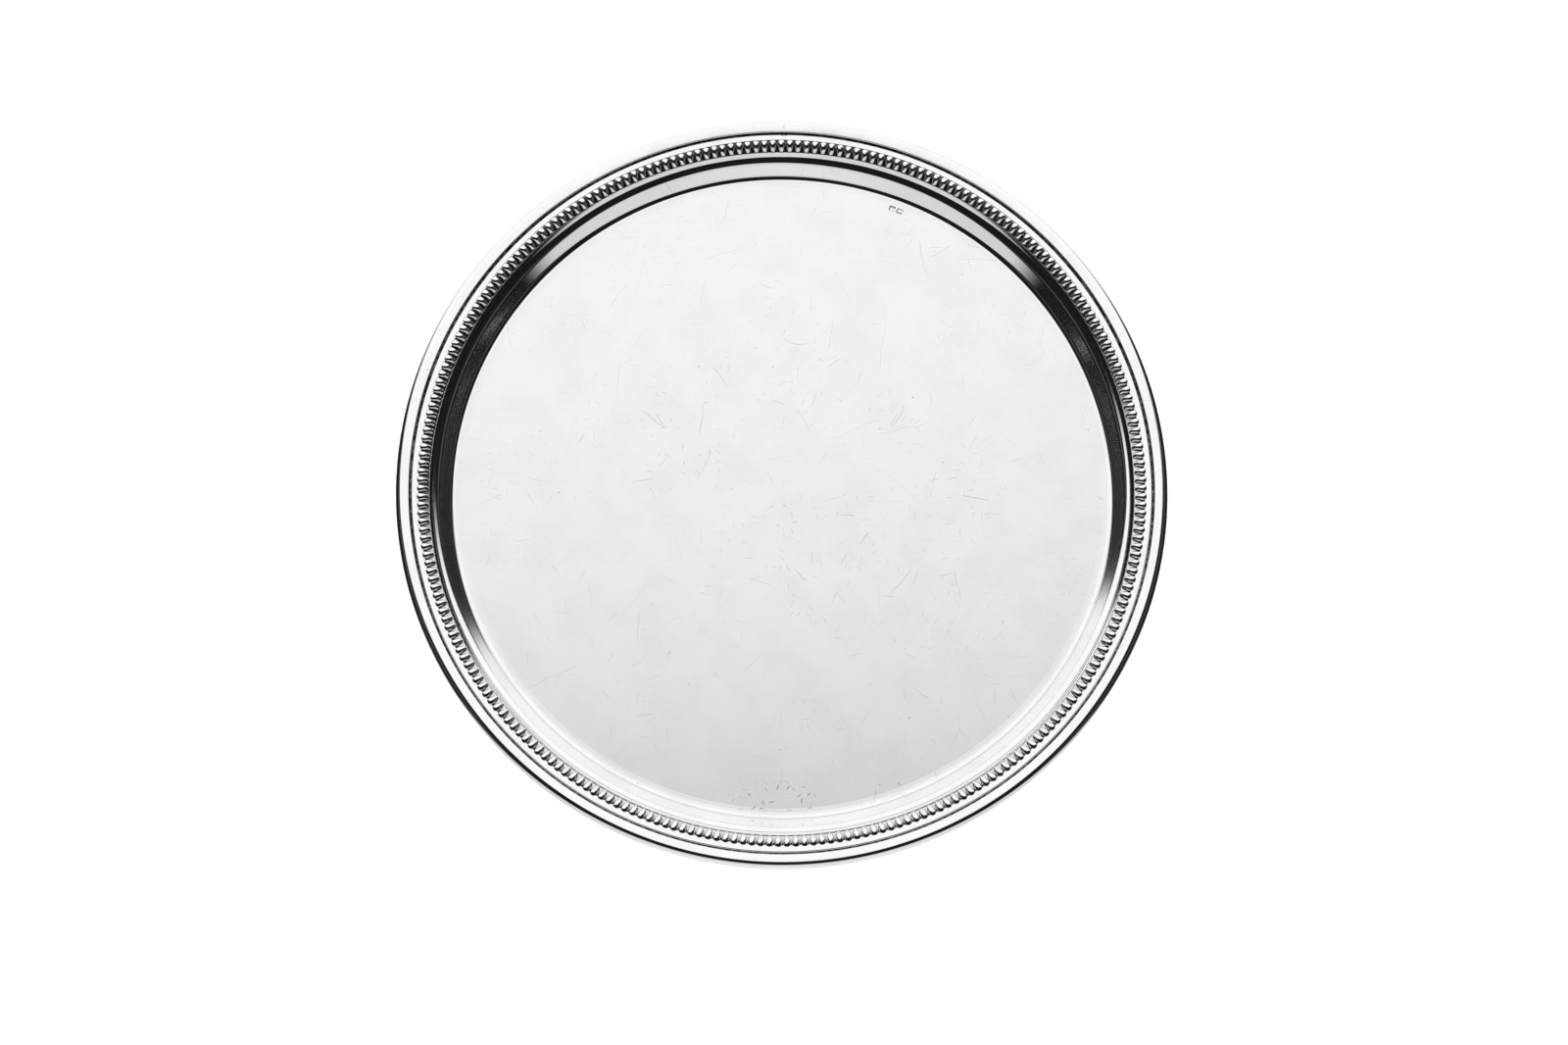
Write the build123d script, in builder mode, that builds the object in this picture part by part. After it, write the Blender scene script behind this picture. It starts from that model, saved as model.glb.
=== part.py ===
"""Round silver salver with an applied bead border, lying on its flat base.

The body is one silver sheet: a flat field, a sloping wall and a narrow flange. Three rings are soldered
on the flange: a plain inner wire, a rolled strip of beads with a flat fillet, and an outer moulding.
The origin is the centre of the underside, +Z is up, and one bead stands exactly on +Y.
"""
from build123d import *
import math
import os

os.makedirs("parts", exist_ok=True)

# --- driving dimensions, mm; points are (radius, height) ----------------------------------------------
DIAMETER = 305.0  # over the outer moulding
SHEET = 0.9  # thickness of the body's sheet
FIELD_R = 131.55  # where the field would meet the wall if the bend were sharp
FIELD_BEND = 2.9  # upper radius of the bend between field and wall
SHOULDER_R = 136.8  # where the wall would meet the flange if the bend were sharp
SHOULDER_Z = 7.15
SHOULDER_BEND = 2.6  # upper radius of the bend between wall and flange
FLANGE_R = 151.8  # edge of the sheet, just inside the moulding's outer side
FLANGE_Z = 8.1

WIRE_R = 138.0  # inner edge of the plain inner wire
WIRE_FACE_R = 139.1  # where its sloping face reaches its crown
WIRE_TOP = 8.4
WIRE_SIDE = 0.2  # height of its inner side

STRIP_R = 139.45  # where the bead strip begins and the inner wire ends
BEADS = 263
SMALL_END = (140.62, 8.39)  # centre of a bead's small end
SMALL_END_R = 1.12
LARGE_END = (142.5, 9.35)  # centre of its large end
LARGE_END_R = 1.55
BEAD_CLEAR = 0.1  # thickness of the strip left under a bead's root
BED_FOOT = 0.25  # thickness of the strip between the beads at its inner edge
BED_HEAD = (143.4, 10.0)  # where the bed turns up to the flat fillet
FILLET_R = 144.2  # inner edge of the flat fillet outside the beads
FILLET_Z = 10.55
FILLET_CHAMFER = 0.3

MOULDING_R = 146.5  # where the outer moulding begins and the bead strip ends
GROOVE_Z = 10.2  # floor of the groove between fillet and moulding
GROOVE_W = 0.35  # part of the groove's floor that the moulding holds
BAND_INNER = (147.4, 11.6)  # inner edge of the moulding's gently crowned band
BAND_CROWN_R = 148.8  # a point on the band
BAND_CROWN_Z = 11.68
TOP_Z = 11.7  # crown of the moulding, the highest line of the salver
ROLL_R = 2.4  # radius of the moulding's outer roll
ROLL_END = 30.0  # degrees below its widest line where the roll meets its foot

MARK_R = 126.4  # distance of the two blank punch marks from the centre
MARK_ANGLES = (69.2, 67.75)  # degrees from +X
MARK_SIZE = (2.1, 2.45)  # along the radius and across it
MARK_DEPTH = 0.12
CUT_MARGIN = 0.5  # how far a cutting shape runs past the face it cuts

RADIUS = DIAMETER / 2
ROLL_CENTRE = (RADIUS - ROLL_R, TOP_Z - ROLL_R)
FLANGE_SLOPE = (FLANGE_Z - SHOULDER_Z) / (FLANGE_R - SHOULDER_R)


def flange_top(r):
    """Height of the flange's upper face at radius r."""
    return SHOULDER_Z + FLANGE_SLOPE * (r - SHOULDER_R)


def on_roll(degrees):
    """Point of the moulding's outer roll, by its angle above the widest line."""
    turn = math.radians(degrees)
    return (ROLL_CENTRE[0] + ROLL_R * math.cos(turn), ROLL_CENTRE[1] + ROLL_R * math.sin(turn))


def faceted_bowl(levels):
    """Solid of flat facets, one for each bead, between rings given as (radius, height)."""
    rings = []
    for r, z in levels:
        corner_r = r / math.cos(math.pi / BEADS)
        corners = [math.pi / 2 + 2 * math.pi * (k + 0.5) / BEADS for k in range(BEADS)]
        rings.append([Vector(corner_r * math.cos(a), corner_r * math.sin(a), z) for a in corners])
    faces = [Face(Wire.make_polygon(ring)) for ring in (rings[0], rings[-1])]
    for low, high in zip(rings, rings[1:]):
        for k in range(BEADS):
            j = (k + 1) % BEADS
            faces.append(Face(Wire.make_polygon([low[k], low[j], high[j], high[k]])))
    return Solid(Shell(faces))


# --- tray body: one sheet, spun to field, wall and flange -------------------------------------------
with BuildPart() as tray_body:
    with BuildSketch(Plane.XZ):
        with BuildLine():
            upper_face = FilletPolyline(
                (0, SHEET),
                (FIELD_R, SHEET),
                (SHOULDER_R, SHOULDER_Z),
                (FLANGE_R, FLANGE_Z),
                radius=[FIELD_BEND, SHOULDER_BEND],
            )
            offset(upper_face, amount=SHEET, side=Side.RIGHT, closed=True)
        make_face()
    revolve(axis=Axis.Z)
    with BuildSketch(Plane.XY.offset(SHEET)):
        for angle in MARK_ANGLES:
            with PolarLocations(MARK_R, 1, start_angle=angle):
                Rectangle(*MARK_SIZE)
    extrude(amount=-MARK_DEPTH, mode=Mode.SUBTRACT)

# --- inner wire: plain wire with a sloping inner face, at the top of the wall -----------------------
with BuildPart() as inner_wire:
    with BuildSketch(Plane.XZ):
        with BuildLine():
            Polyline(
                (WIRE_R, flange_top(WIRE_R)),
                (STRIP_R, flange_top(STRIP_R)),
                (STRIP_R, WIRE_TOP),
                (WIRE_FACE_R, WIRE_TOP),
                (WIRE_R, flange_top(WIRE_R) + WIRE_SIDE),
                close=True,
            )
        make_face()
    revolve(axis=Axis.Z)

# --- one bead: a round-ended cone that climbs outwards ----------------------------------------------
bead_length = math.dist(SMALL_END, LARGE_END)
bead_axis = Axis(
    (SMALL_END[0], 0, SMALL_END[1]),
    (LARGE_END[0] - SMALL_END[0], 0, LARGE_END[1] - SMALL_END[1]),
)
bead_plane = Plane(origin=bead_axis.position, x_dir=bead_axis.direction, z_dir=(0, -1, 0))
taper = math.asin((LARGE_END_R - SMALL_END_R) / bead_length)  # the cone's half angle
with BuildPart() as bead:
    with BuildSketch(bead_plane):
        with BuildLine():
            small_tip = (-SMALL_END_R, 0)
            large_tip = (bead_length + LARGE_END_R, 0)
            small_side = (-SMALL_END_R * math.sin(taper), SMALL_END_R * math.cos(taper))
            large_side = (
                bead_length - LARGE_END_R * math.sin(taper),
                LARGE_END_R * math.cos(taper),
            )
            RadiusArc(small_tip, small_side, SMALL_END_R)
            Line(small_side, large_side)
            RadiusArc(large_side, large_tip, LARGE_END_R)
            Line(large_tip, small_tip)
        make_face()
    revolve(axis=bead_axis)
    flange_face = Plane(origin=(STRIP_R, 0, flange_top(STRIP_R)), z_dir=(-FLANGE_SLOPE, 0, 1))
    split(bisect_by=flange_face.offset(BEAD_CLEAR), keep=Keep.TOP)

# --- bead border: rolled strip with its beads and flat fillet, one piece ----------------------------
# The bed between the beads has one flat facet for each bead, and so has the step up to the fillet.
foot_z = flange_top(STRIP_R) + BED_FOOT
bed_slope = (BED_HEAD[1] - foot_z) / (BED_HEAD[0] - STRIP_R)
bed_cut = faceted_bowl(
    [
        (STRIP_R - CUT_MARGIN, foot_z - CUT_MARGIN * bed_slope),
        BED_HEAD,
        (FILLET_R, FILLET_Z),
        (FILLET_R + CUT_MARGIN, FILLET_Z + CUT_MARGIN),
    ]
)
with BuildPart() as bead_border:
    with BuildSketch(Plane.XZ):
        with BuildLine():
            Polyline(
                (STRIP_R, flange_top(STRIP_R)),
                (MOULDING_R, flange_top(MOULDING_R)),
                (MOULDING_R, GROOVE_Z),
                (MOULDING_R - FILLET_CHAMFER, GROOVE_Z),
                (MOULDING_R - 2 * FILLET_CHAMFER, FILLET_Z),
                (STRIP_R, FILLET_Z),
                close=True,
            )
        make_face()
    revolve(axis=Axis.Z)
    add(bed_cut, mode=Mode.SUBTRACT)
    with PolarLocations(0, BEADS, start_angle=90):
        add(bead.part)

# --- rim moulding: groove, gently crowned band and rolled outer edge --------------------------------
with BuildPart() as rim_moulding:
    with BuildSketch(Plane.XZ):
        with BuildLine():
            roll_foot = on_roll(-ROLL_END)
            Polyline(
                roll_foot,
                (FLANGE_R, FLANGE_Z),
                (MOULDING_R, flange_top(MOULDING_R)),
                (MOULDING_R, GROOVE_Z),
                (MOULDING_R + GROOVE_W, GROOVE_Z),
                BAND_INNER,
            )
            ThreePointArc(BAND_INNER, (BAND_CROWN_R, BAND_CROWN_Z), on_roll(90))
            ThreePointArc(on_roll(90), on_roll(45), on_roll(0))
            ThreePointArc(on_roll(0), on_roll(-ROLL_END / 2), roll_foot)
        make_face()
    revolve(axis=Axis.Z)

# --- hand the pieces over ---------------------------------------------------------------------------
pieces = {
    "tray_body": tray_body,
    "inner_wire": inner_wire,
    "bead_border": bead_border,
    "rim_moulding": rim_moulding,
}
total = 0.0
for name, piece in pieces.items():
    piece.part.label = name
    export_step(piece.part, f"parts/{name}.step")
    total += piece.part.volume
    print(name, "volume", round(piece.part.volume / 1000, 2), "cm3, solids", len(piece.part.solids()))
print("all", round(total / 1000, 2), "cm3")
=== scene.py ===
"""Looks of a round silver salver with a bead border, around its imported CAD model.

Lengths are in millimetres until a mesh is made, and angles in degrees. An outline is a list of
(radius, height) points about the Z axis. One bead stands on +Y, the side that is furthest from
the camera.
"""

import math
import random

import bmesh
import bpy
import numpy as np
from mathutils import Matrix, Vector


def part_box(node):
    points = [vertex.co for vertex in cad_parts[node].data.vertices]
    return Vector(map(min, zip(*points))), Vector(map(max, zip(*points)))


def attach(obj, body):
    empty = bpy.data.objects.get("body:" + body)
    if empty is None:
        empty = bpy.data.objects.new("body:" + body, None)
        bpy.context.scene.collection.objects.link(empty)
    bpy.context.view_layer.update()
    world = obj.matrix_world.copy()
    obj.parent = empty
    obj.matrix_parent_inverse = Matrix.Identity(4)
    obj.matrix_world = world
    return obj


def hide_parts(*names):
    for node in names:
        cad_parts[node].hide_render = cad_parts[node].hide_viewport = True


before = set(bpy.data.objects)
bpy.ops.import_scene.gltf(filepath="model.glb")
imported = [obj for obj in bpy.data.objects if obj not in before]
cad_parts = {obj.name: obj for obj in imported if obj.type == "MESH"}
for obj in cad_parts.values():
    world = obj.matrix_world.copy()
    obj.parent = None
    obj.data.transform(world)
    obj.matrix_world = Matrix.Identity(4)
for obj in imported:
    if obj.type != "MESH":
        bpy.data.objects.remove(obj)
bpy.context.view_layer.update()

# --- sizes, mm --------------------------------------------------------------------------------------
MM = 0.001
RIM_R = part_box("rim_moulding")[1].x / MM  # widest line of the salver
TOP_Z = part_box("rim_moulding")[1].z / MM  # highest line
STRIP_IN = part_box("inner_wire")[1].x / MM  # the plain wire ends and the bead strip begins
STRIP_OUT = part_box("bead_border")[1].x / MM  # the bead strip ends and the moulding begins
FLANGE_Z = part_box("tray_body")[1].z / MM  # edge of the sheet

SHEET = 0.9  # thickness of the body's sheet
FIELD_R = 131.55  # the field would meet the wall here if the bend were sharp
FIELD_LIFT_R = 128.8  # the field turns up very gently here, towards the bend
FIELD_LIFT = 0.144
FIELD_LIFT_BEND = 53
FIELD_BEND = 2.9
SHOULDER_R = 135.9  # the wall would meet the shoulder here if the bend were sharp
SHOULDER_Z = 6.3
SHOULDER_BEND = 3.4
FOOT_Z = 6.85  # height of the shoulder where the plain wire stands on it
FLANGE_R = RIM_R - 0.7
FLANGE_IN = (136.8, 7.15)  # a point on the flange's line
FLANGE_SLOPE = (FLANGE_Z - FLANGE_IN[1]) / (FLANGE_R - FLANGE_IN[0])

WIRE_R = STRIP_IN - 1.45
WIRE_TOP = 8.75
WIRE_BACK_R = WIRE_R + 0.6  # the wire lies on the flange from here outwards

BEADS = 263
BEAD_CENTRE = (141.6, 0, 8.9)  # a bead that is a little larger or smaller grows about this point
BEAD_IN = 139.6  # a bead's inner end
BEAD_OUT = 144.4  # its outer end
CAP_R = 142.35  # its top is level from here outwards
CAP_LEVEL = 0.45  # for this far
CAP_Z = 10.9
CAP_BEND = 2.4  # inwards and outwards of that the top is an arc of this radius
BACK_SLOPE = 38  # degrees; from the arc a straight slope runs down towards the inner end
END_BEND = 0.9  # the inner end is rounded with this radius
SMALL_R = 140.7  # the small end is a half ellipse up to here, of this half width
SMALL_HALF = 1.22
LARGE_R = 142.3  # the large end is rounded from here outwards
LARGE_HALF = 1.6
SQUARE = 2.5  # exponent of the bead's outline across; 2 is elliptical
BEAD_SUNK = 0.15  # how far the bead's sides go down into the bed
BEAD_DIRT = 0.35  # the foot of a bead is dark up to this height
BED_FOOT = 1.05  # thickness of the strip at its inner edge
BED_TURN = (142.3, 9.1)  # the bed is gentle up to here, then steep
BED_HEAD = (143.4, 10.4)  # and nearly level from here to the fillet
FILLET_R = 144.2  # the flat fillet outside the beads begins here
FILLET_Z = 10.55
FILLET_EDGE = (STRIP_OUT - 0.06, FILLET_Z + 0.04)  # its outer corner, if it were sharp
GROOVE_Z = 9.75  # floor of the groove between the strip and the moulding
GROOVE_OUT = STRIP_OUT + 0.38  # outer edge of the groove's floor
BAND_EDGE = (STRIP_OUT + 0.64, TOP_Z - 0.2)  # inner corner of the moulding's gently crowned band
BAND_CREST = (STRIP_OUT + 2.3, TOP_Z - 0.065)
BAND_BEND = 40
ROLL_R = 2.4
ROLL_CENTRE = (RIM_R - ROLL_R, TOP_Z - ROLL_R)
ROLL_TURN = (92.5, -27.5)  # degrees above its widest line where the roll begins and ends
ROLL_POINTS = 31

MARK_R = 126.4
MARK_ANGLES = (69.2, 67.75)
MARK_SIZE = (2.1, 2.45)
MARK_DEPTH = 0.12
MARK_EDGE = 0.22  # width of a punch mark's sloping edge
FIELD_SCUFF_R = 124  # a cluster of short scratches lies here, towards -Y
FIELD_UNEVEN = 0.03  # how far the hand-finished field rises and falls
SEAM_X = 1.15  # the moulding's solder seam, beside +Y
SEAM_DEPTH = 0.03
SEAM_HALF = 0.12
NICKS = (SEAM_X - 0.7, SEAM_X + 0.6)  # two nicks in the strip's edge, beside the seam
NICK_HALF = 0.32
NICK_DEPTH = 0.25
NICK_R = STRIP_OUT - 0.25
NICK_LENGTH = 0.35
COLUMNS = 720  # faces around a turned piece
ARC_STEP = 5.0  # degrees of an outline's bend to one face
TINY_BEND = 0.16  # a bend of this radius or less gets faces three times as wide

dice = random.Random(7)


def flange_top(r):
    """Height of the flange's upper face at radius r."""
    return FLANGE_IN[1] + FLANGE_SLOPE * (r - FLANGE_IN[0])


def on_roll(degrees):
    """Point of the moulding's outer roll, by its angle above the widest line."""
    turn = math.radians(degrees)
    return (ROLL_CENTRE[0] + ROLL_R * math.cos(turn), ROLL_CENTRE[1] + ROLL_R * math.sin(turn))


# --- outlines and turned meshes ---------------------------------------------------------------------
def arc_at(before, corner, after, bend):
    """Points of the arc that rounds one corner of an outline."""
    here = np.array(corner)
    into = here - np.array(before)
    out = np.array(after) - here
    into = into / np.linalg.norm(into)
    out = out / np.linalg.norm(out)
    turn = math.atan2(into[0] * out[1] - into[1] * out[0], into @ out)
    start = here - into * bend * math.tan(abs(turn) / 2)
    centre = start + np.array((-into[1], into[0])) * math.copysign(bend, turn)
    step = math.radians(ARC_STEP if bend > TINY_BEND else 3 * ARC_STEP)
    steps = max(2, math.ceil(abs(turn) / step))
    points = []
    for k in range(steps + 1):
        c = math.cos(turn * k / steps)
        s = math.sin(turn * k / steps)
        x, y = start - centre
        points.append((centre[0] + c * x - s * y, centre[1] + s * x + c * y))
    return points


def outline(corners, closed=False):
    """Points of an outline whose corners are (radius, height, bend radius); a bend of 0 stays sharp."""
    points = []
    last = len(corners) - 1
    for k, (r, z, bend) in enumerate(corners):
        if bend == 0 or (not closed and k in (0, last)):
            points.append((r, z))
        else:
            after = corners[(k + 1) % (last + 1)]
            points += arc_at(corners[k - 1][:2], (r, z), after[:2], bend)
    return points


def below(corners, thickness):
    """Corners of a sheet's lower face, from those of its upper face; they run from the edge inwards."""
    moved = []
    for k, (r, z, bend) in enumerate(corners):
        sides = []
        for a, b in (corners[max(k - 1, 0):][:2], corners[min(k, len(corners) - 2):][:2]):
            run = np.array(b[:2]) - np.array(a[:2])
            run = run / np.linalg.norm(run)
            sides.append(np.array((run[1], -run[0])))
        half = sides[0] + sides[1]
        shift = half * thickness / (1 + sides[0] @ sides[1])
        left = sides[0][0] * sides[1][1] - sides[0][1] * sides[1][0]
        grown = bend + math.copysign(thickness, left) if bend else 0
        moved.append((r + shift[0], z + shift[1], grown))
    return moved[::-1]


def with_supports(points, longest, near=0.2):
    """Adds points on long straight stretches: one close to each end, and the rest evenly spaced."""
    full = []
    for a, b in zip(points, points[1:]):
        full.append(a)
        length = math.dist(a, b)
        if length > 4 * near:
            inner = [near / length, 1 - near / length]
            parts = math.ceil((length - 2 * near) / longest)
            inner = np.linspace(inner[0], inner[1], parts + 1)
            full += [(a[0] + (b[0] - a[0]) * t, a[1] + (b[1] - a[1]) * t) for t in inner]
    full.append(points[-1])
    return full


def around(*extra):
    """Angles of the columns of a turned piece, with extra ones where it has a local feature."""
    even = 90 + np.arange(COLUMNS) * 360 / COLUMNS
    angles = np.concatenate([even % 360, np.array(extra, float) % 360])
    return np.unique(np.round(angles, 6))


def mesh_object(name, vertices, faces, patina_and_shade, crease=38):
    """Object with smooth faces, sharp edges, and the patina and painted shade of each vertex. Vertices are
    in mm.
    """
    mesh = bpy.data.meshes.new(name)
    mesh.from_pydata((np.asarray(vertices) * MM).tolist(), [], faces)
    mesh.shade_smooth()
    mesh.set_sharp_from_angle(angle=math.radians(crease))
    layer = mesh.attributes.new("patina_and_shade", "FLOAT", "POINT")
    layer.data.foreach_set("value", np.clip(patina_and_shade, 0, 1).astype(np.float32))
    made = bpy.data.objects.new(name, mesh)
    bpy.context.scene.collection.objects.link(made)
    return made


def turned_arrays(points, angles, closed, shape=None, tarnish_and_shade=None):
    """Vertices, faces, and patina with painted shade, of an outline turned about Z. A point on the axis is
    one vertex.
    """
    rows = np.array(points, float)
    turn = np.radians(angles)
    r = np.repeat(rows[:, :1], len(turn), axis=1)
    z = np.repeat(rows[:, 1:], len(turn), axis=1)
    a = np.repeat(turn[None, :], len(rows), axis=0)
    if shape:
        r, z = shape(r, z, a)
    patina_and_shade = tarnish_and_shade(r, z, a) if tarnish_and_shade else np.zeros_like(r)
    grid = np.stack([r * np.cos(a), r * np.sin(a), z], axis=-1)
    vertices, stains_and_shade, index = [], [], []
    for k in range(len(rows)):
        at_axis = rows[k, 0] < 1e-6
        width = 1 if at_axis else len(turn)
        index.append([len(vertices) + j % width for j in range(len(turn))])
        vertices += grid[k, :width].tolist()
        stains_and_shade += patina_and_shade[k, :width].tolist()
    faces = []
    pairs = list(zip(index, index[1:]))
    if closed:
        pairs.append((index[-1], index[0]))
    count = len(turn)
    for low, high in pairs:
        for j in range(count):
            i = (j + 1) % count
            face = [low[j], low[i], high[i], high[j]]
            faces.append([v for n, v in enumerate(face) if v not in face[:n]])
    return vertices, faces, stains_and_shade


def facing_out(made):
    """Turns a closed mesh's faces outwards."""
    shell = bmesh.new()
    shell.from_mesh(made.data)
    bmesh.ops.recalc_face_normals(shell, faces=shell.faces)
    shell.to_mesh(made.data)
    shell.free()
    return made


def hill(x, centre, width):
    """Smooth hill of height 1."""
    return np.exp(-(((x - centre) / width) ** 2))


def smooth_step(x, low, high):
    """0 at low, 1 at high, smooth between."""
    t = np.clip((x - low) / (high - low), 0, 1)
    return t * t * (3 - 2 * t)


# --- the body's sheet -------------------------------------------------------------------------------
def mark_depth(r, a):
    """Depth of the two blank punch marks at a point of the field."""
    depth = np.zeros_like(r)
    for angle in MARK_ANGLES:
        along = np.abs(r - MARK_R) - MARK_SIZE[0] / 2
        across = np.abs(a - math.radians(angle)) * MARK_R - MARK_SIZE[1] / 2
        inside = np.maximum(along, across)
        depth = np.maximum(depth, 1 - smooth_step(inside, -MARK_EDGE, 0))
    return depth


def body_shape(r, z, a):
    """The hand-finished sheet: an uneven field with two punch marks, and a slightly wavy wall."""
    upper = z > SHEET / 2
    on_field = 1 - smooth_step(r, 110, 130)
    uneven = 0.5 + 0.25 * np.sin(r / 17 + 2 * a) + 0.25 * np.sin(r / 29 - 3 * a + 1)
    z = z + FIELD_UNEVEN * on_field * smooth_step(r, 0, 20) * uneven
    z = z - np.where(upper, MARK_DEPTH * mark_depth(r, a), 0)
    on_wall = smooth_step(r, 130.5, 133) * (1 - smooth_step(r, 135.5, 137))
    r = r + on_wall * (0.05 * np.sin(3 * a + 1) + 0.03 * np.sin(11 * a + 2))
    return r, z


def mark_corners(r, a):
    """Mask of two opposite corners of each punch mark."""
    mask = np.zeros_like(r)
    for angle in MARK_ANGLES:
        along = 2 * (r - MARK_R) / MARK_SIZE[0]
        across = 2 * (a - math.radians(angle)) * MARK_R / MARK_SIZE[1]
        mask = np.maximum(mask, smooth_step(along * across, 0.2, 0.6))
    return mask


def body_patina(r, z, a):
    """Dirt along the edges of the punch marks and in their corners."""
    depth = np.where((z > SHEET / 2) & (r < FIELD_LIFT_R), mark_depth(r, a), 0)
    edges = np.minimum(4 * 1.4 * depth * (1 - depth), 1)
    return np.maximum(edges, 0.5 * depth * mark_corners(r, a))


def body_sheet():
    """Field, wall and flange, one sheet."""
    field = [
        (0, SHEET, 0),
        (FIELD_LIFT_R, SHEET, FIELD_LIFT_BEND),
        (FIELD_R, SHEET + FIELD_LIFT, FIELD_BEND),
    ]
    top = field + [
        (SHOULDER_R, SHOULDER_Z, SHOULDER_BEND),
        (WIRE_R, FOOT_Z, 0.3),
        (WIRE_BACK_R, flange_top(WIRE_BACK_R), 0.3),
        (FLANGE_R, FLANGE_Z, 0),
    ]
    steps = (0.08, 0, -MARK_EDGE / 3, -2 * MARK_EDGE / 3, -MARK_EDGE, -0.45, -0.7, -0.95)
    rings = [MARK_R + s * (MARK_SIZE[0] / 2 + d) for s in (-1, 1) for d in steps]
    upper = with_supports(outline(top), 7)
    upper = sorted(upper + [(r, SHEET) for r in rings])
    bottom = field + [(*FLANGE_IN, SHOULDER_BEND), (FLANGE_R, FLANGE_Z, 0)]
    lower = with_supports(outline(below(bottom, SHEET)), 14)
    lower[-1] = (0, lower[-1][1])
    edges = [s * (MARK_SIZE[1] / 2 + d) / MARK_R for s in (-1, 1) for d in steps]
    extra = [angle + math.degrees(edge) for angle in MARK_ANGLES for edge in edges]
    arrays = turned_arrays(upper + lower, around(*extra), False, body_shape, body_patina)
    return facing_out(mesh_object("body_sheet", *arrays))


# --- the plain wire ---------------------------------------------------------------------------------
def wire_patina(r, z, a):
    """Tarnish along both edges of the wire."""
    foot = 0.7 * (1 - smooth_step(z, flange_top(WIRE_R), flange_top(WIRE_R) + 0.25))
    return np.maximum(foot * (r < WIRE_R + 0.4), 0.25 * smooth_step(r, STRIP_IN - 0.1, STRIP_IN))


def plain_wire():
    """Wire with a sloping inner face, at the top of the wall."""
    corners = [
        (WIRE_R, FOOT_Z, 0),
        (WIRE_BACK_R, flange_top(WIRE_BACK_R), 0),
        (STRIP_IN, flange_top(STRIP_IN), 0),
        (STRIP_IN, WIRE_TOP - 0.1, 0),
        (STRIP_IN - 0.1, WIRE_TOP, 0.06),
        (WIRE_R, flange_top(WIRE_R) + 0.2, 0.1),
    ]
    arrays = turned_arrays(outline(corners, closed=True), around(), True, None, wire_patina)
    return facing_out(mesh_object("plain_wire", *arrays))


# --- the bead strip ---------------------------------------------------------------------------------
def bed(r):
    """Height of the strip's bed between the beads."""
    foot = flange_top(STRIP_IN) + BED_FOOT
    return np.interp(r, (STRIP_IN, BED_TURN[0], BED_HEAD[0]), (foot, BED_TURN[1], BED_HEAD[1]))


def nicks(r, a):
    """Mask of the two nicks where the moulding's ends meet."""
    x = (math.pi / 2 - a) * STRIP_OUT
    across = hill(x, NICKS[0], NICK_HALF) + hill(x, NICKS[1], NICK_HALF)
    return across * hill(r, NICK_R, NICK_LENGTH)


def strip_patina_and_shade(r, z, a):
    """The bed is dark with old polish, most of all between the caps; the groove's side has tarnish and
    painted shade.
    """
    in_bed = 0.12 + 0.3 * smooth_step(r, STRIP_IN + 0.6, STRIP_IN + 1.8)
    in_bed = in_bed + 0.58 * smooth_step(r, BED_TURN[0] - 0.2, BED_TURN[0] + 0.3)
    in_bed = in_bed * (1 - smooth_step(r, BED_HEAD[0] - 0.1, BED_HEAD[0] + 0.2))
    # painted shade of the deep groove, with its tarnish, on the strip's outer side
    groove_side_tarnish_and_shade = smooth_step(r, STRIP_OUT - 0.1, STRIP_OUT - 0.04)
    return np.maximum(np.maximum(in_bed, 0.9 * groove_side_tarnish_and_shade), nicks(r, a))


def strip_shape(r, z, a):
    """The strip with the nicks in its outer edge."""
    return r, z - NICK_DEPTH * nicks(r, a) * (z > GROOVE_Z)


def on_cap(slope, crest):
    """Point of the arc at a bead's top, by the slope there in degrees; crest is where the arc is level."""
    turn = math.radians(slope)
    return (crest - CAP_BEND * math.sin(turn), CAP_Z - CAP_BEND * (1 - math.cos(turn)))


def bead_half(r):
    """Half width of a bead at radius r: two rounded ends and a taper between them."""
    if r < SMALL_R:
        return SMALL_HALF * math.sqrt(1 - ((SMALL_R - r) / (SMALL_R - BEAD_IN)) ** 2)
    if r < LARGE_R:
        return SMALL_HALF + (LARGE_HALF - SMALL_HALF) * smooth_step(r, SMALL_R, LARGE_R)
    return LARGE_HALF * math.sqrt(1 - ((r - LARGE_R) / (BEAD_OUT - LARGE_R)) ** 2)


def bead_stations():
    """The bead's outline along it: rows of (radius, top, half width)."""
    slope = math.radians(BACK_SLOPE)
    start = on_cap(BACK_SLOPE, CAP_R)
    end = (BEAD_IN + END_BEND * (1 - math.sin(slope)), 0)
    end = (end[0], start[1] - math.tan(slope) * (start[0] - end[0]))
    centre = (BEAD_IN + END_BEND, end[1] - END_BEND * math.cos(slope))
    tops = []
    for angle in (84, 72, 60, 49):
        turn = math.radians(angle)
        tops.append((centre[0] - END_BEND * math.sin(turn), centre[1] + END_BEND * math.cos(turn)))
    tops += [end, ((start[0] + end[0]) / 2, (start[1] + end[1]) / 2)]
    tops += [on_cap(angle, CAP_R) for angle in (BACK_SLOPE, 29, 20, 12, 5, 0)]
    tops += [on_cap(angle, CAP_R + CAP_LEVEL) for angle in (0, -8, -16, -25, -34)]
    return [(r, top, bead_half(r)) for r, top in tops]


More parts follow.
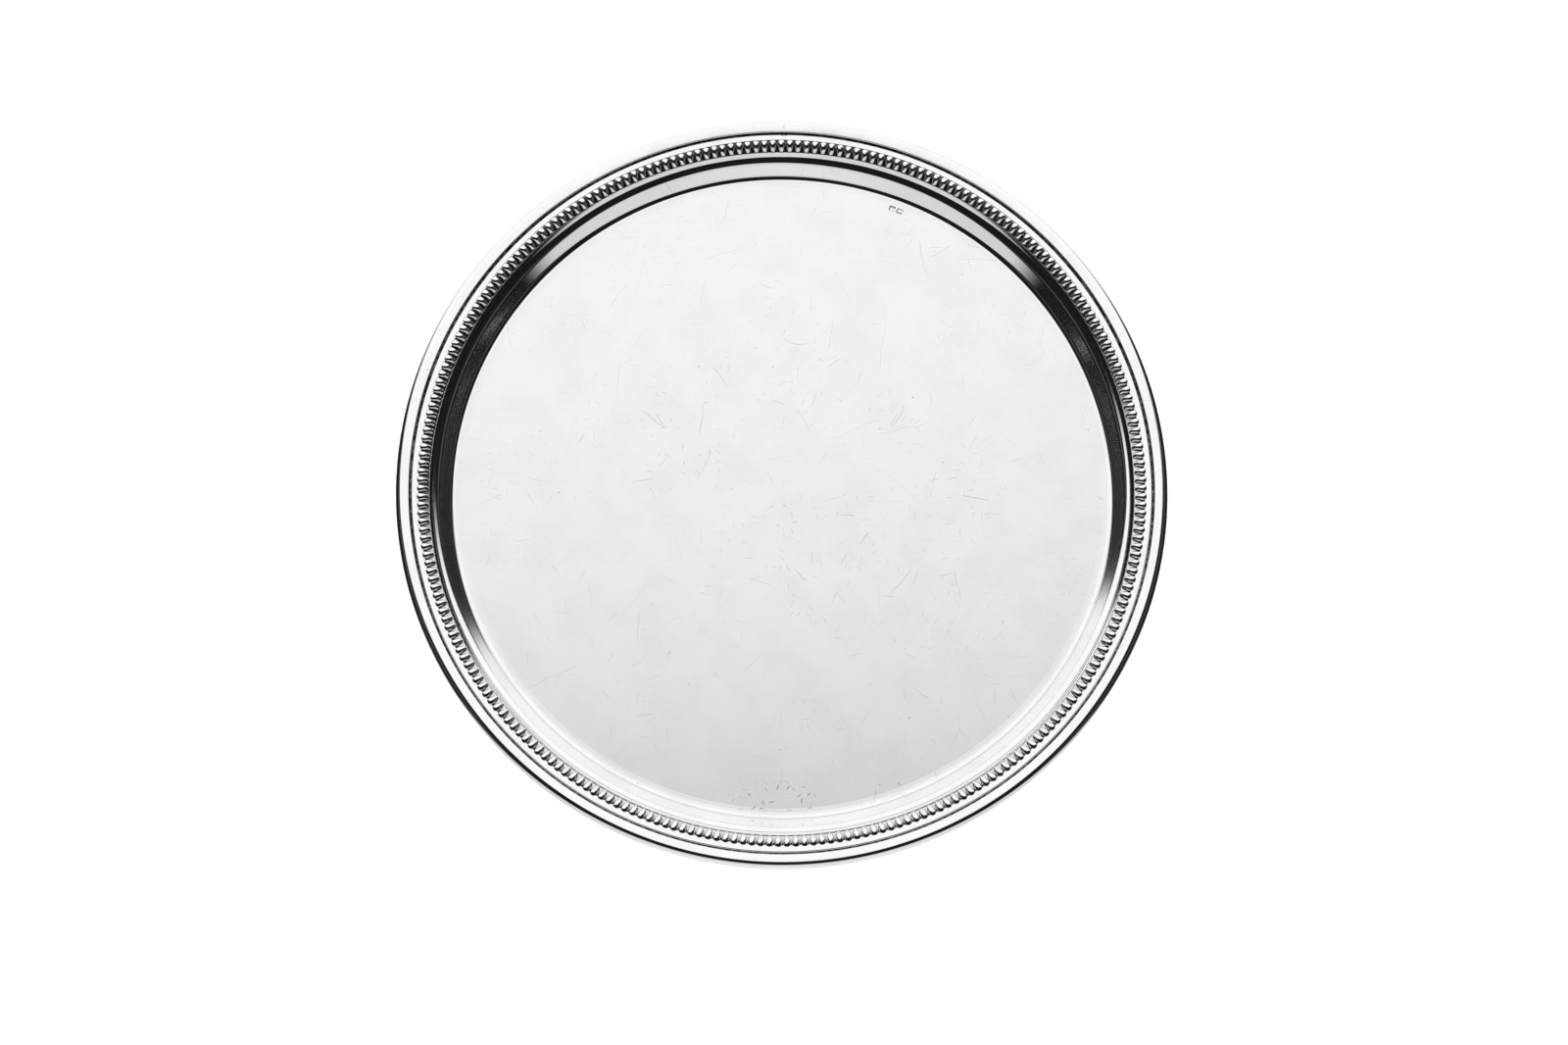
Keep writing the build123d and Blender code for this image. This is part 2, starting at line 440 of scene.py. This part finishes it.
def bead_base(columns=11):
    """One bead: rows of (out, side, up, share of the bead's height there), and faces."""
    stations = bead_stations()
    first, last = stations[0], stations[-1]
    vertices = [(BEAD_IN, 0, first[1] - 0.5, 1)]
    for r, top, half in stations:
        foot = min(bed(r), FILLET_Z) - BEAD_SUNK
        for k in range(columns):
            turn = math.pi * k / (columns - 1)
            side = math.copysign(abs(math.cos(turn)) ** (2 / SQUARE), math.cos(turn))
            lift = abs(math.sin(turn)) ** (2 / SQUARE)
            vertices.append((r, half * side, foot + (top - foot) * lift, lift))
    vertices.append((BEAD_OUT, 0, last[1] - BEAD_SUNK, 1))
    tip = len(vertices) - 1
    faces = []
    for k in range(columns):
        j = (k + 1) % columns
        faces.append([0, 1 + j, 1 + k])
        faces.append([tip, tip - columns + k, tip - columns + j])
        for n in range(len(stations) - 1):
            start = 1 + n * columns
            faces.append([start + k, start + j, start + columns + j, start + columns + k])
    return np.array(vertices), faces


def bead_arrays():
    """Vertices, faces, and patina with painted shade, of all the beads, each a closed shell, none quite
    like the next.
    """
    base, cells = bead_base()
    base, share = base[:, :3], base[:, 3]
    middle = np.array(BEAD_CENTRE)
    # the lower sides of each bead, from near its inner end outwards, carry tarnish and a painted shade and
    # reflection of the dark crease there
    crevice_tarnish_and_shade = (1 - smooth_step(share, 0.3, 0.78)) * smooth_step(base[:, 0], BEAD_IN + 0.3, SMALL_R)
    vertices, faces, stains_and_shade = [], [], []
    for n in range(BEADS):
        size = 1 + dice.uniform(-0.015, 0.012)
        slip = dice.uniform(-0.03, 0.03)
        lift = dice.uniform(-0.05, 0.02)
        turn = math.radians(90 + 360 * n / BEADS) + slip / CAP_R
        out, side, up = (middle + (base - middle) * (1, size, size) + (0, 0, lift)).T
        x = out * math.cos(turn) - side * math.sin(turn)
        y = out * math.sin(turn) + side * math.cos(turn)
        first = n * len(base)
        vertices += np.stack([x, y, up], axis=1).tolist()
        faces += [[first + v for v in cell] for cell in cells]
        height = up - np.minimum(bed(out), FILLET_Z)
        reach = BEAD_DIRT - 0.08 * smooth_step(out, LARGE_R + 0.4, LARGE_R + 1.2)
        foot = 1 - smooth_step(height, 0.0, reach)
        stains_and_shade += np.maximum(foot, crevice_tarnish_and_shade).tolist()
    return vertices, faces, stains_and_shade


def bead_strip():
    """Rolled strip: the bed, the beads on it and the flat fillet outside them."""
    corners = [
        (STRIP_IN, flange_top(STRIP_IN), 0),
        (STRIP_OUT, flange_top(STRIP_OUT), 0),
        (STRIP_OUT, GROOVE_Z, 0),
        (STRIP_OUT - 0.05, GROOVE_Z + 0.02, 0.02),
        (*FILLET_EDGE, 0.55),
        (FILLET_R, FILLET_Z - 0.05, 0.15),
        (*BED_HEAD, 0.1),
        (*BED_TURN, 0.5),
        (STRIP_IN, flange_top(STRIP_IN) + BED_FOOT, 0),
    ]
    points = with_supports(outline(corners, closed=True), 1.5, 0.1)
    angles = around(*seam_columns())
    vertices, faces, stains_and_shade = turned_arrays(points, angles, True, strip_shape, strip_patina_and_shade)
    more, more_faces, more_stains_and_shade = bead_arrays()
    faces = faces + [[len(vertices) + v for v in face] for face in more_faces]
    made = mesh_object("bead_strip", vertices + more, faces, stains_and_shade + more_stains_and_shade, crease=50)
    return facing_out(made)


# --- the outer moulding -----------------------------------------------------------------------------
def seam_columns():
    """Angles of the extra columns at the moulding's seam."""
    return [90 - math.degrees((SEAM_X + d) / RIM_R) for d in np.linspace(-1.5, 1.5, 31)]


def seam_depth(r, a):
    """The solder seam, a hairline across the moulding."""
    x = (math.pi / 2 - a) * RIM_R
    return SEAM_DEPTH * hill(x, SEAM_X, SEAM_HALF) * smooth_step(r, STRIP_OUT + 0.9, STRIP_OUT + 1.2)


def rim_shape(r, z, a):
    """The moulding with its seam."""
    return r, z - seam_depth(r, a) * (z > GROOVE_Z)


def rim_patina_and_shade(r, z, a):
    """Tarnish and painted shade in the groove, the seam, and a trace of tarnish under the roll."""
    # the groove is darkened by tarnish and by a painted shade of its depth
    groove_tarnish_and_shade = 1 - smooth_step(z, TOP_Z - 1.4, TOP_Z - 0.9)
    groove_tarnish_and_shade = groove_tarnish_and_shade * (r < STRIP_OUT + 1)
    under = 0.5 * (1 - smooth_step(z, FLANGE_Z, FLANGE_Z + 0.5)) * (r > FLANGE_R - 0.2)
    return np.maximum(np.maximum(groove_tarnish_and_shade, under), 3 * seam_depth(r, a))


def outer_moulding():
    """Groove, gently crowned band and rolled outer edge."""
    corners = [
        (STRIP_OUT, flange_top(STRIP_OUT), 0),
        (STRIP_OUT, GROOVE_Z, 0),
        (GROOVE_OUT, GROOVE_Z, 0.08),
        (*BAND_EDGE, 0.4),
        (*BAND_CREST, BAND_BEND),
    ]
    roll = [on_roll(degrees) for degrees in np.linspace(*ROLL_TURN, ROLL_POINTS)]
    edge = [(FLANGE_R, FLANGE_Z)]
    points = outline(corners + [(*roll[0], 0)])[:-1] + roll + edge
    points = with_supports(points, 1.0, 0.12)
    arrays = turned_arrays(points, around(*seam_columns()), True, rim_shape, rim_patina_and_shade)
    return facing_out(mesh_object("outer_moulding", *arrays))


# --- materials --------------------------------------------------------------------------------------
def add(tree, kind, *inputs, **settings):
    """New node; its inputs, in order, are values or sockets, and None leaves one as it is."""
    made = tree.nodes.new("ShaderNode" + kind)
    for key, value in settings.items():
        setattr(made, key, value)
    for socket, value in zip(made.inputs, inputs):
        if isinstance(value, bpy.types.NodeSocket):
            tree.links.new(value, socket)
        elif value is not None:
            socket.default_value = value
    return made


def calc(tree, operation, a, b=None):
    """Result of a Math node."""
    return add(tree, "Math", a, b, operation=operation).outputs[0]


def ramp(tree, value, low, high, to_low=0.0, to_high=1.0):
    """Smooth step of a value between two bounds."""
    made = add(tree, "MapRange", value, low, high, to_low, to_high, interpolation_type="SMOOTHSTEP")
    return made.outputs[0]


def noise(tree, place, scale, detail=3.0):
    """Noise from 0 to 1 about 0.5; scale is in features per millimetre."""
    return add(tree, "TexNoise", place, None, scale, detail, noise_dimensions="3D").outputs[0]


def colour_mix(tree, factor, a, b):
    """Mixes two colours."""
    mix = add(tree, "Mix", data_type="RGBA")
    for socket, value in zip((mix.inputs[0], mix.inputs[6], mix.inputs[7]), (factor, a, b)):
        if isinstance(value, bpy.types.NodeSocket):
            tree.links.new(value, socket)
        else:
            socket.default_value = value
    return mix.outputs[2]


def millimetres(tree):
    """The surface point in the salver's own coordinates, in millimetres."""
    place = add(tree, "TexCoord").outputs["Object"]
    scaled = add(tree, "VectorMath", place, operation="SCALE")
    scaled.inputs["Scale"].default_value = 1 / MM
    return scaled.outputs[0]


def in_cells(tree, place, cell, shift):
    """The place as a pattern of cells of this size sees it; each shift gives another pattern."""
    made = add(tree, "VectorMath", place, (1 / cell,) * 3, shift, operation="MULTIPLY_ADD")
    return made.outputs[0]


def hairlines(tree, place, cell, length, width, keep, seed):
    """Mask of straight scratches turned at random, one in a cell; keep is the share of cells with one."""
    spot = in_cells(tree, place, cell, (seed, 2 * seed, 0))
    cells = add(tree, "TexVoronoi", spot, None, 1.0, voronoi_dimensions="2D")
    offset = add(tree, "VectorMath", spot, cells.outputs["Position"], operation="SUBTRACT").outputs[0]
    chance = add(tree, "SeparateColor", cells.outputs["Color"])
    angle = calc(tree, "MULTIPLY", chance.outputs[0], 2 * math.pi)
    turned = add(tree, "VectorRotate", offset, rotation_type="Z_AXIS")
    tree.links.new(angle, turned.inputs["Angle"])
    parts = add(tree, "SeparateXYZ", turned.outputs[0])
    across = ramp(tree, calc(tree, "ABSOLUTE", parts.outputs[1]), 0.0, width / cell, 1.0, 0.0)
    half = 0.5 * length / cell
    ends = ramp(tree, calc(tree, "ABSOLUTE", parts.outputs[0]), half / 2, half, 1.0, 0.0)
    chosen = ramp(tree, chance.outputs[1], 1 - keep, 1.0, 0.0, 1.0)
    return calc(tree, "MULTIPLY", calc(tree, "MULTIPLY", across, ends), chosen)


def pits(tree, place, cell, radius, keep, seed):
    """Mask of small round pits."""
    spot = in_cells(tree, place, cell, (seed, seed, 0))
    cells = add(tree, "TexVoronoi", spot, None, 1.0, voronoi_dimensions="2D")
    chance = add(tree, "SeparateColor", cells.outputs["Color"]).outputs[1]
    dot = ramp(tree, cells.outputs["Distance"], 0.4 * radius / cell, radius / cell, 1.0, 0.0)
    return calc(tree, "MULTIPLY", dot, ramp(tree, chance, 1 - keep, 1.0, 0.0, 1.0))


SILVER = (0.955, 0.952, 0.946, 1)
CLOUDED = (0.915, 0.912, 0.906, 1)
SCRATCHED = (0.4, 0.397, 0.39, 1)
# colour of the tarnish, also used for the painted shade in the groove and on the beads' lower sides
OXIDE_AND_SHADE = (0.02, 0.019, 0.018, 1)


def strongest(tree, *masks):
    """The strongest of several (mask, strength) pairs at each point."""
    best = None
    for mask, strength in masks:
        part = calc(tree, "MULTIPLY", mask, strength)
        best = part if best is None else calc(tree, "MAXIMUM", best, part)
    return best


def silver(name, smooth, satin, surface):
    """Silver, with the roughness of its smooth and its satin parts.

    surface(tree, place) gives masks of the wear, of where it is dull, and of dirt beside the patina and
    painted shade.
    """
    material = bpy.data.materials.new(name)
    material.use_nodes = True
    tree = material.node_tree
    shader = tree.nodes["Principled BSDF"]
    shader.inputs["Metallic"].default_value = 1.0
    place = millimetres(tree)
    wear, dull, dirt = surface(tree, place)
    cloud = noise(tree, place, 0.05, 4.0)
    grain = noise(tree, place, 1.1, 3.0)
    # the vertex attribute holds tarnish and, in the groove and on the beads' lower sides, painted shade
    stain_and_shade = add(tree, "Attribute", attribute_name="patina_and_shade").outputs["Fac"]
    patchy = ramp(tree, noise(tree, place, 0.6, 3.0), 0.25, 0.6, 0.7, 1.0)
    stain_and_shade = calc(tree, "MULTIPLY", calc(tree, "MAXIMUM", stain_and_shade, dirt), patchy)

    metal = colour_mix(tree, ramp(tree, cloud, 0.35, 0.7), SILVER, CLOUDED)
    metal = colour_mix(tree, calc(tree, "MINIMUM", wear, 1.0), metal, SCRATCHED)
    tree.links.new(colour_mix(tree, stain_and_shade, metal, OXIDE_AND_SHADE), shader.inputs["Base Color"])

    rough = ramp(tree, dull, 0.0, 1.0, smooth, satin)
    rough = calc(tree, "ADD", rough, ramp(tree, grain, 0.3, 0.8, -0.008, 0.012))
    rough = calc(tree, "ADD", rough, calc(tree, "MULTIPLY", wear, 0.12))
    rough = calc(tree, "ADD", rough, calc(tree, "MULTIPLY", stain_and_shade, 0.15))
    tree.links.new(rough, shader.inputs["Roughness"])

    uneven = calc(tree, "MULTIPLY", grain, ramp(tree, dull, 0.0, 1.0, 0.02, 0.06))
    height = calc(tree, "SUBTRACT", uneven, wear)
    bump = add(tree, "Bump", 0.15, 0.00002)
    tree.links.new(height, bump.inputs["Height"])
    tree.links.new(bump.outputs[0], shader.inputs["Normal"])
    return material


def radius_of(tree, place):
    """Distance from the salver's axis."""
    flat = add(tree, "VectorMath", place, (1, 1, 0), operation="MULTIPLY").outputs[0]
    return add(tree, "VectorMath", flat, operation="LENGTH").outputs["Value"]


def ring_line(tree, radius, at, width):
    """Mask of a fine line all around the salver."""
    away = calc(tree, "ABSOLUTE", calc(tree, "SUBTRACT", radius, at))
    return ramp(tree, away, 0.0, width, 1.0, 0.0)


def body_surface(tree, place):
    """The field is satin with long use: hairlines, short scratches and pits. The wall is polished."""
    radius = radius_of(tree, place)
    wander = add(tree, "TexNoise", place, None, 0.08, 1.0, noise_dimensions="3D").outputs[1]
    bent = add(tree, "VectorMath", wander, (4, 4, 4), place, operation="MULTIPLY_ADD").outputs[0]
    wear = strongest(
        tree,
        (hairlines(tree, bent, 34, 30, 0.3, 0.3, 3), 0.5),
        (hairlines(tree, bent, 17, 15, 0.27, 0.35, 11), 0.45),
        (hairlines(tree, bent, 8, 7, 0.25, 0.4, 23), 0.4),
        (hairlines(tree, bent, 3.6, 3, 0.22, 0.6, 31), 0.3),
        (pits(tree, place, 13, 0.42, 0.2, 5), 1.0),
        (pits(tree, place, 5, 0.26, 0.25, 17), 0.5),
    )
    density = ramp(tree, noise(tree, place, 0.022, 2.0), 0.35, 0.68, 0.3, 1.5)
    inside = ramp(tree, radius, 20.0, 125.0, 1.0, 0.55)
    wear = calc(tree, "MULTIPLY", wear, calc(tree, "MULTIPLY", density, inside))
    narrowed = add(tree, "VectorMath", place, (0.45, 1, 1), operation="MULTIPLY").outputs[0]
    centre = (-1, -FIELD_SCUFF_R, 0)
    nearby = add(tree, "VectorMath", narrowed, centre, operation="DISTANCE").outputs["Value"]
    strokes = hairlines(tree, place, 2.7, 2.4, 0.3, 0.7, 61)
    scuff = calc(tree, "MULTIPLY", strokes, ramp(tree, nearby, 3.0, 10.0, 1.5, 0.0))
    wear = calc(tree, "MAXIMUM", wear, scuff)
    on_field = ramp(tree, radius, 129.0, 131.0, 1.0, 0.0)
    dirt = strongest(
        tree,
        (ring_line(tree, radius, 131.5, 0.4), 0.4),
        (ring_line(tree, radius, WIRE_R - 0.05, 0.4), 0.9),
    )
    return wear, on_field, dirt


def border_surface(tree, place):
    """The borders are polished, with few hairlines and a few specks of dirt."""
    wear = strongest(
        tree,
        (hairlines(tree, place, 5, 4, 0.15, 0.3, 41), 0.3),
        (pits(tree, place, 9, 0.3, 0.12, 8), 0.6),
    )
    specks = pits(tree, place, 16, 0.35, 0.1, 29)
    dull = ramp(tree, noise(tree, place, 0.12, 2.0), 0.35, 0.75)
    return wear, dull, calc(tree, "MULTIPLY", specks, 0.8)


# --- surroundings -----------------------------------------------------------------------------------
STAND = math.radians(20.5)  # how far the salver leans back in the studio that it reflects
STUDIO_UP = (0, math.cos(STAND), math.sin(STAND))
STUDIO_FRONT = (0, -math.sin(STAND), math.cos(STAND))
STUDIO_LIGHT = 1.03  # brightness of the white boards
# (degrees above the studio's horizon, share of the light), in front of the salver and behind it
FRONT_LIGHT = ((-90, 0.84), (-70, 0.84), (-50, 0.7), (-33, 0.66), (-25, 0.01), (26, 0.01),
               (28, 0.45), (30, 0.86), (32.5, 0.97), (42, 1.0), (90, 1.0))
BACK_LIGHT = ((-90, 0.86), (-50, 0.72), (-22, 0.6), (-12, 0.04), (12, 0.04), (22, 0.9), (90, 1.0))
BOARD_SIDES = 0.08  # the white boards' lower edge is higher at both sides
BOARD_END = 0.11  # and higher again at the right
SIDE_LIGHT = 0.065  # share of the light on the grey walls at the sides
FLOOR_HALF = 8000  # half the side of the floor
CAMERA_PLACE = (-12.03, -397.22, 1546.97)
CAMERA_TURN = (-0.24383, 0.00808)  # turns of the view about X and then about Y


def sky(tree, height, steps):
    """Brightness by height above the studio's horizon."""
    node = add(tree, "ValToRGB", height)
    node.color_ramp.interpolation = "EASE"
    elements = node.color_ramp.elements
    for k, (degrees, value) in enumerate(steps):
        position = (degrees + 90) / 180
        element = elements[k] if k < 2 else elements.new(position)
        element.position = position
        element.color = (value, value, value, 1)
    return node.outputs[0]


def surroundings():
    """A studio of white boards above, a dark room in front and at the sides, and a pale table below."""
    world = bpy.data.worlds.new("studio")
    world.use_nodes = True
    bpy.context.scene.world = world
    tree = world.node_tree
    direction = add(tree, "TexCoord").outputs["Generated"]
    up = add(tree, "VectorMath", direction, STUDIO_UP, operation="DOT_PRODUCT").outputs["Value"]
    front = add(tree, "VectorMath", direction, STUDIO_FRONT, operation="DOT_PRODUCT").outputs["Value"]
    parts = add(tree, "SeparateXYZ", direction)
    sideways = calc(tree, "ABSOLUTE", parts.outputs[0])
    lower = ramp(tree, sideways, 0.45, 0.75, 0.0, BOARD_SIDES)
    lower = calc(tree, "ADD", lower, ramp(tree, parts.outputs[0], 0.12, 0.28, 0.0, BOARD_END))
    up = calc(tree, "SUBTRACT", up, calc(tree, "MULTIPLY", lower, ramp(tree, up, 0.0, 0.3)))
    angle = calc(tree, "ARCSINE", up)
    height = add(tree, "MapRange", angle, -math.pi / 2, math.pi / 2, 0.0, 1.0).outputs[0]
    ahead = ramp(tree, front, -0.6, -0.3)
    light = colour_mix(tree, ahead, sky(tree, height, BACK_LIGHT), sky(tree, height, FRONT_LIGHT))
    beside = ramp(tree, sideways, 0.6, 0.8)
    beside = calc(tree, "MULTIPLY", beside, ramp(tree, parts.outputs[2], 0.3, 0.45))
    beside = calc(tree, "MULTIPLY", beside, SIDE_LIGHT)
    light = add(tree, "VectorMath", light, beside, operation="MAXIMUM").outputs[0]
    light = add(tree, "VectorMath", light, (STUDIO_LIGHT,) * 3, operation="MULTIPLY").outputs[0]
    seen = add(tree, "LightPath").outputs["Is Camera Ray"]
    shown = colour_mix(tree, seen, light, (1, 1, 1, 1))
    background = tree.nodes["Background"]
    tree.links.new(shown, background.inputs["Color"])


def floor():
    """Plain white floor, clear from below. The salver reflects the studio instead of it."""
    mesh = bpy.data.meshes.new("floor")
    far = FLOOR_HALF
    corners = [(-far, -far, 0), (far, -far, 0), (far, far, 0), (-far, far, 0)]
    mesh.from_pydata((np.array(corners) * MM).tolist(), [], [(0, 1, 2, 3)])
    made = bpy.data.objects.new("floor", mesh)
    bpy.context.scene.collection.objects.link(made)
    material = bpy.data.materials.new("floor")
    material.use_nodes = True
    shader = material.node_tree.nodes["Principled BSDF"]
    shader.inputs["Base Color"].default_value = (0.9, 0.9, 0.9, 1)
    shader.inputs["Roughness"].default_value = 0.9
    shader.inputs["Specular IOR Level"].default_value = 0.0
    shader.inputs["Emission Color"].default_value = (1, 1, 1, 1)
    shader.inputs["Emission Strength"].default_value = 0.7
    tree = material.node_tree
    behind = add(tree, "NewGeometry").outputs["Backfacing"]
    seen = add(tree, "MixShader", behind, shader.outputs[0], add(tree, "BsdfTransparent").outputs[0])
    tree.links.new(seen.outputs[0], tree.nodes["Material Output"].inputs["Surface"])
    mesh.materials.append(material)
    made.visible_glossy = False


def softbox(name, place, size, power):
    """Square area light that looks at the salver and lights the floor, but isn't seen in the silver."""
    data = bpy.data.lights.new(name, "AREA")
    data.size = size * MM
    data.energy = power
    made = bpy.data.objects.new(name, data)
    made.location = Vector(place) * MM
    made.rotation_euler = (-Vector(place)).to_track_quat("-Z", "Y").to_euler()
    made.visible_glossy = False
    bpy.context.scene.collection.objects.link(made)


def camera():
    """A long lens, a little in front of the vertical."""
    data = bpy.data.cameras.new("camera")
    data.lens = 92.25
    data.sensor_width = 36
    made = bpy.data.objects.new("camera", data)
    turn = Matrix.Rotation(CAMERA_TURN[1], 3, "Y") @ Matrix.Rotation(CAMERA_TURN[0], 3, "X")
    place = Matrix.Translation(Vector(CAMERA_PLACE) * MM)
    made.matrix_world = place @ turn.transposed().to_4x4()
    bpy.context.scene.collection.objects.link(made)
    bpy.context.scene.camera = made


# --- put together -----------------------------------------------------------------------------------
def place_piece(piece, node, slot, smooth, satin, surface):
    """Gives a piece its silver and lets it stand for its CAD node."""
    piece.data.materials.append(silver(slot, smooth, satin, surface))
    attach(piece, "root")
    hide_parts(node)


place_piece(body_sheet(), "tray_body", "body_silver", 0.07, 0.2, body_surface)
place_piece(plain_wire(), "inner_wire", "wire_silver", 0.06, 0.1, border_surface)
place_piece(bead_strip(), "bead_border", "bead_silver", 0.05, 0.1, border_surface)
place_piece(outer_moulding(), "rim_moulding", "rim_silver", 0.06, 0.12, border_surface)

surroundings()
floor()
softbox("key", (0, 0, 2300), 2600, 45)
camera()
bpy.context.scene.view_settings.view_transform = "Standard"
